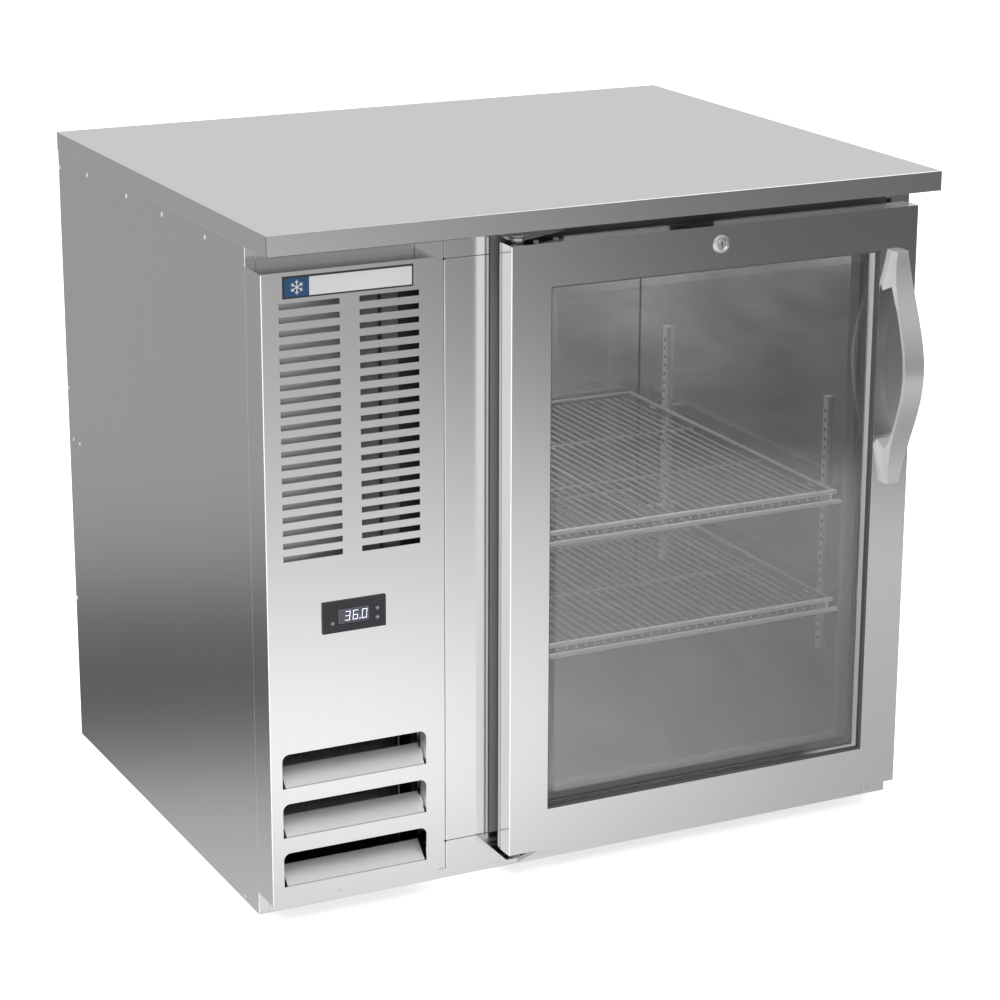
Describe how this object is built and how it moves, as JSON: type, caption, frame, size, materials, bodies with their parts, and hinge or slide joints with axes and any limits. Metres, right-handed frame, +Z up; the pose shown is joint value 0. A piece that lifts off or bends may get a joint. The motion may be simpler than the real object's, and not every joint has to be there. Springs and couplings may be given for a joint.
{
  "type": "under counter fridge",
  "caption": "Stainless under counter fridge with a hinged glass door, lift-out wire shelves, side grille cover and side mounted condensing unit.",
  "frame": {"origin": "centre of the cabinet's underside, on the floor", "axes": "+X to the right seen from the front, -Y out of the door, +Z up"},
  "size_m": [0.9144, 0.776, 0.8636],
  "materials": {
    "stainless": "satin",
    "stainless_top": "satin",
    "galvanised": "matte",
    "liner_steel": "satin",
    "black_plastic": "matte",
    "gloss_black": "gloss",
    "foam": "matte",
    "core_board": "matte",
    "zinc": "satin",
    "plate": "satin",
    "display_glass": "gloss",
    "button_plastic": "satin",
    "black_paint": "satin",
    "rubber": "matte",
    "coil_fins": "matte",
    "copper": "satin",
    "white_plastic": "satin",
    "epoxy_wire": "satin",
    "light": "satin",
    "door_frame": "satin",
    "glass": "gloss",
    "seal": "matte",
    "handle_metal": "satin",
    "lock_metal": "polished"
  },
  "bodies": {
    "cabinet": {"base_pan": "galvanised", "base_rail": "stainless", "side_panel_left": "stainless", "side_panel_right": "stainless", "back_panel": "galvanised", "top_rail": "stainless", "stile_panel": "stainless", "compartment_wall": "stainless", "breaker_frame": "black_plastic", "inner_liner": "liner_steel", "foam_body": "foam", "worktop": "stainless_top", "worktop_core": "core_board", "grille_cover": "stainless", "louver_blades": "stainless", "panel_screws": "zinc", "nameplate": "plate", "controller_case": "gloss_black", "display_lens": "display_glass", "unit_base": "galvanised", "compressor": "black_paint", "compressor_grommets": "rubber", "condenser_coil": "coil_fins", "fan_shroud": "galvanised", "condenser_fan_motor": "black_paint", "refrigerant_lines": "copper", "electrical_box": "galvanised", "condensate_pan": "black_plastic", "evaporator_housing": "white_plastic", "evaporator_coil": "coil_fins", "evaporator_fan_motor": "black_paint", "pilaster_front_left": "zinc", "pilaster_front_right": "zinc", "pilaster_rear_left": "zinc", "pilaster_rear_right": "zinc", "shelf_clips": "zinc", "light_strip": "light", "hinge_bracket_top": "stainless", "hinge_bracket_bottom": "stainless", "hinge_pins": "zinc", "lock_strike": "zinc", "cord_gland": "black_plastic"},
    "condenser_fan": {"condenser_fan": "black_plastic"},
    "evaporator_fan": {"evaporator_fan": "black_plastic"},
    "button_up": {"button_up": "button_plastic"},
    "button_down": {"button_down": "button_plastic"},
    "button_set": {"button_set": "button_plastic"},
    "shelf_upper": {"shelf_upper": "epoxy_wire"},
    "shelf_lower": {"shelf_lower": "epoxy_wire"},
    "door": {"door_shell": "stainless", "door_inner_frame": "door_frame", "glass_panes": "glass", "glass_spacer": "plate", "glazing_seal": "seal", "door_gasket": "seal", "door_handle": "handle_metal", "handle_screws": "zinc", "lock_housing": "lock_metal"},
    "lock": {"lock_plug": "lock_metal", "lock_cam": "zinc"}
  },
  "joints": [
    {"name": "door_hinge", "type": "hinge", "parent": "cabinet", "child": "door", "pos_m": [-0.12, -0.367, 0.43], "axis": [0, 0, -1], "range_deg": [0, 105]},
    {"name": "lock_turn", "type": "hinge", "parent": "door", "child": "lock", "pos_m": [0.1505, -0.385, 0.794], "axis": [0, -1, 0], "range_deg": [0, 90]},
    {"name": "condenser_fan_spin", "type": "hinge", "parent": "cabinet", "child": "condenser_fan", "pos_m": [-0.3481, -0.26, 0.16], "axis": [0, -1, 0], "continuous": true},
    {"name": "evaporator_fan_spin", "type": "hinge", "parent": "cabinet", "child": "evaporator_fan", "pos_m": [-0.074, 0.008, 0.682], "axis": [1, 0, 0], "continuous": true},
    {"name": "button_up_press", "type": "slide", "parent": "cabinet", "child": "button_up", "axis": [0, 1, 0], "range_m": [0, 0.0006], "stiffness_N_per_m": 400, "springref_m": -0.0005},
    {"name": "button_down_press", "type": "slide", "parent": "cabinet", "child": "button_down", "axis": [0, 1, 0], "range_m": [0, 0.0006], "stiffness_N_per_m": 400, "springref_m": -0.0005},
    {"name": "button_set_press", "type": "slide", "parent": "cabinet", "child": "button_set", "axis": [0, 1, 0], "range_m": [0, 0.0006], "stiffness_N_per_m": 400, "springref_m": -0.0005},
    {"name": "shelf_upper_lift", "type": "slide", "parent": "cabinet", "child": "shelf_upper", "axis": [0, 0, 1], "range_m": [0, 0.012]},
    {"name": "shelf_lower_lift", "type": "slide", "parent": "cabinet", "child": "shelf_lower", "axis": [0, 0, 1], "range_m": [0, 0.012]}
  ]
}
